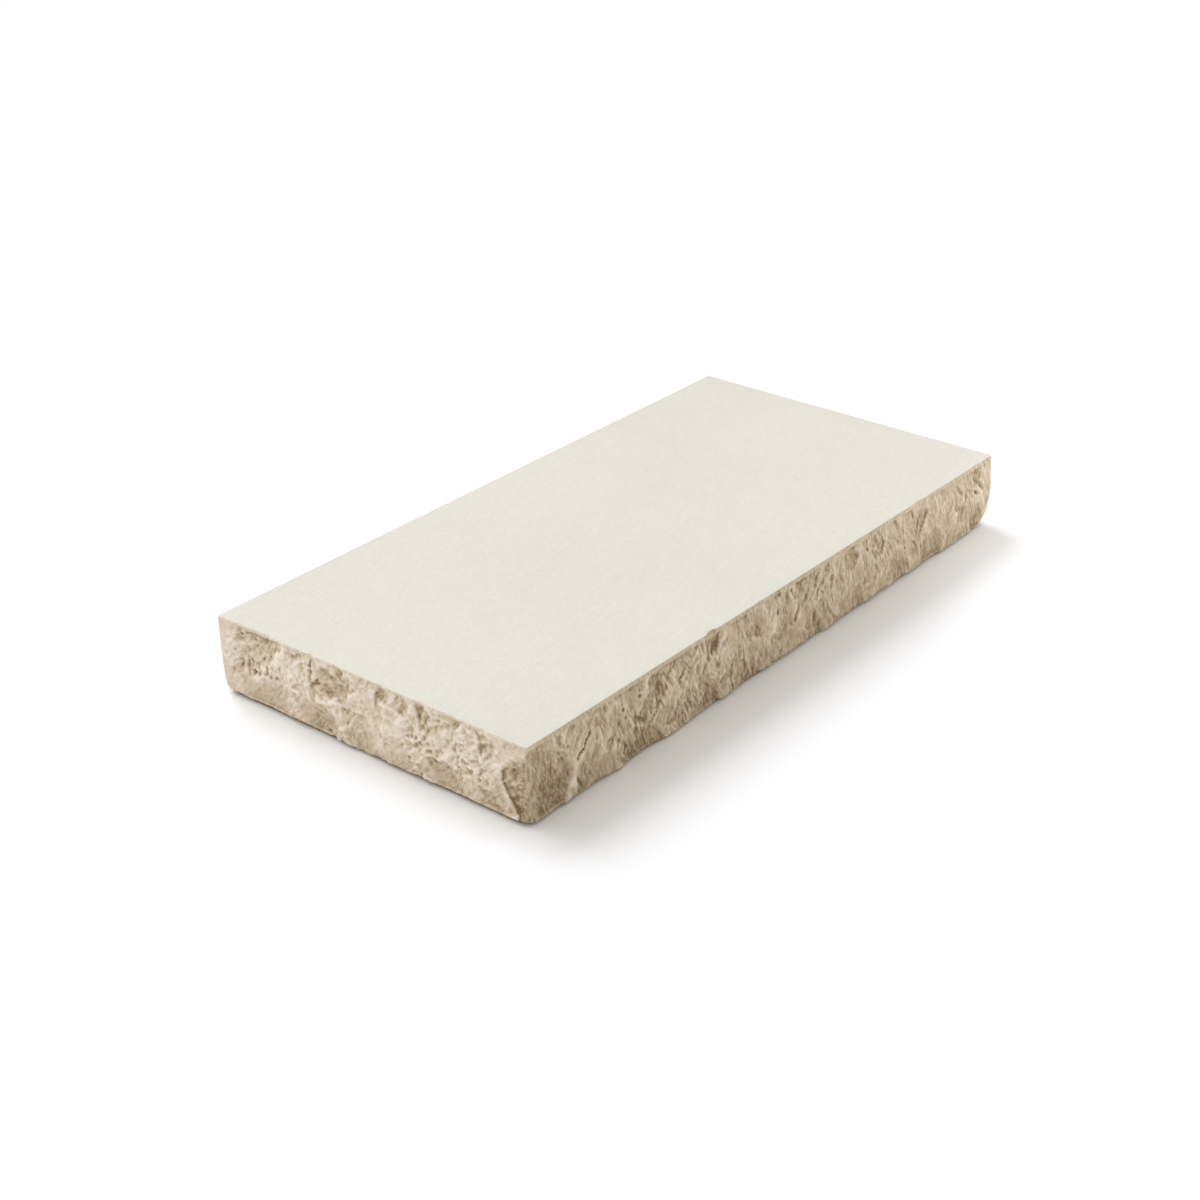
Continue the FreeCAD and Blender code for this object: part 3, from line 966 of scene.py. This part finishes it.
fm = bpy.data.meshes.new("floor")
fm.from_pydata([(-20, -20, 0), (20, -20, 0), (20, 20, 0), (-20, 20, 0)], [], [(0, 1, 2, 3)])
floor = bpy.data.objects.new("floor", fm)
floor.location.z = -0.0002
bpy.context.scene.collection.objects.link(floor)
paper = bpy.data.materials.new("white_paper")
paper.use_nodes = True
pb = paper.node_tree.nodes["Principled BSDF"]
pb.inputs["Base Color"].default_value = (0.88, 0.88, 0.88, 1)
pb.inputs["Roughness"].default_value = 1.0
pb.inputs["Specular IOR Level"].default_value = 0.0
fm.materials.append(paper)

turns = np.linspace(0, 2 * math.pi, 97)[:-1]
wall = [(19 * math.cos(t), 19 * math.sin(t), z) for z in (-0.01, 16.0) for t in turns]
wm = bpy.data.meshes.new("backdrop")
wm.from_pydata(wall, [], [(k, 96 + k, 96 + (k + 1) % 96, (k + 1) % 96) for k in range(96)])
backdrop = bpy.data.objects.new("backdrop", wm)
bpy.context.scene.collection.objects.link(backdrop)
for seen_by in ("diffuse", "glossy", "transmission", "volume_scatter", "shadow"):
    setattr(backdrop, "visible_" + seen_by, False)
white = bpy.data.materials.new("white_backdrop")
white.use_nodes = True
white.node_tree.nodes.clear()
glow = white.node_tree.nodes.new("ShaderNodeEmission")
end = white.node_tree.nodes.new("ShaderNodeOutputMaterial")
glow.inputs[0].default_value = (1, 1, 1, 1)
white.node_tree.links.new(glow.outputs[0], end.inputs[0])
wm.materials.append(white)

world = bpy.data.worlds.new("studio")
world.use_nodes = True
world.node_tree.nodes["Background"].inputs[0].default_value = (1.0, 0.975, 0.94, 1)
world.node_tree.nodes["Background"].inputs[1].default_value = 0.755
bpy.context.scene.world = world


def lamp(name, kind, place, target, energy, colour=(1, 1, 1), **extra):
    data = bpy.data.lights.new(name, kind)
    data.energy, data.color = energy, colour
    for key, value in extra.items():
        setattr(data, key, value)
    o = bpy.data.objects.new(name, data)
    bpy.context.scene.collection.objects.link(o)
    o.location = place
    o.rotation_euler = (Vector(place) - Vector(target)).to_track_quat("Z", "Y").to_euler()
    o.visible_camera = False
    return o


# key from behind; a softer one from behind on the left; weak low ones from the left and the right
lamp("key", "SUN", (0.13, 0.69, 0.71), (0, 0, 0), 1.8, (0.96, 1.0, 1.08), angle=math.radians(38))
lamp("back_left", "AREA", (-0.65, 0.55, 0.75), (-0.1, 0.0, 0.06), 1.2, (0.95, 1.0, 1.08), size=0.5)
lamp("left", "AREA", (-1.8, 0.4, 0.35), (-0.3, 0.0, 0.03), 1.15, (0.93, 1.0, 1.1), size=0.6)
lamp("fill", "AREA", (0.60, -0.48, 0.13), (0.2, -0.15, 0.03), 1.15, (0.96, 1.0, 1.12), size=0.26)
# a soft spot on the floor thins the shadow at the right
lamp("floor_spot", "SPOT", (0.29, -0.34, 1.1), (0.27, -0.31, 0.0), 9.0, spot_size=math.radians(19), spot_blend=1.0, shadow_soft_size=0.06)

cam = bpy.data.cameras.new("camera")
cam.sensor_width = 36.0
cam.sensor_fit = "HORIZONTAL"
AZ, EL, ROLL, FOCAL, PX, PY = -50.472, 27.643, -0.664, 2079.69, 600.0, 600.0
POS = (-1.1489, -0.9134, 0.7694)
az, el, roll = math.radians(AZ), math.radians(EL), math.radians(ROLL)
back = Vector((math.sin(az) * math.cos(el), -math.cos(az) * math.cos(el), math.sin(el)))
right = Vector((0, 0, 1)).cross(back).normalized()
upward = back.cross(right)
rx = right * math.cos(roll) + upward * math.sin(roll)
ry = upward * math.cos(roll) - right * math.sin(roll)
cam.lens = FOCAL / 1200 * 36
cam.shift_x = (600 - PX) / 1200
cam.shift_y = (PY - 600) / 1200
cam.clip_end = 100
cam_o = bpy.data.objects.new("camera", cam)
bpy.context.scene.collection.objects.link(cam_o)
cam_o.matrix_world = Matrix(
    (
        (rx.x, ry.x, back.x, POS[0]),
        (rx.y, ry.y, back.y, POS[1]),
        (rx.z, ry.z, back.z, POS[2]),
        (0, 0, 0, 1),
    )
)
bpy.context.scene.camera = cam_o

view = bpy.context.scene.view_settings
view.view_transform = "Standard"
view.look = "None"
view.exposure = 0.0
view.gamma = 1.0
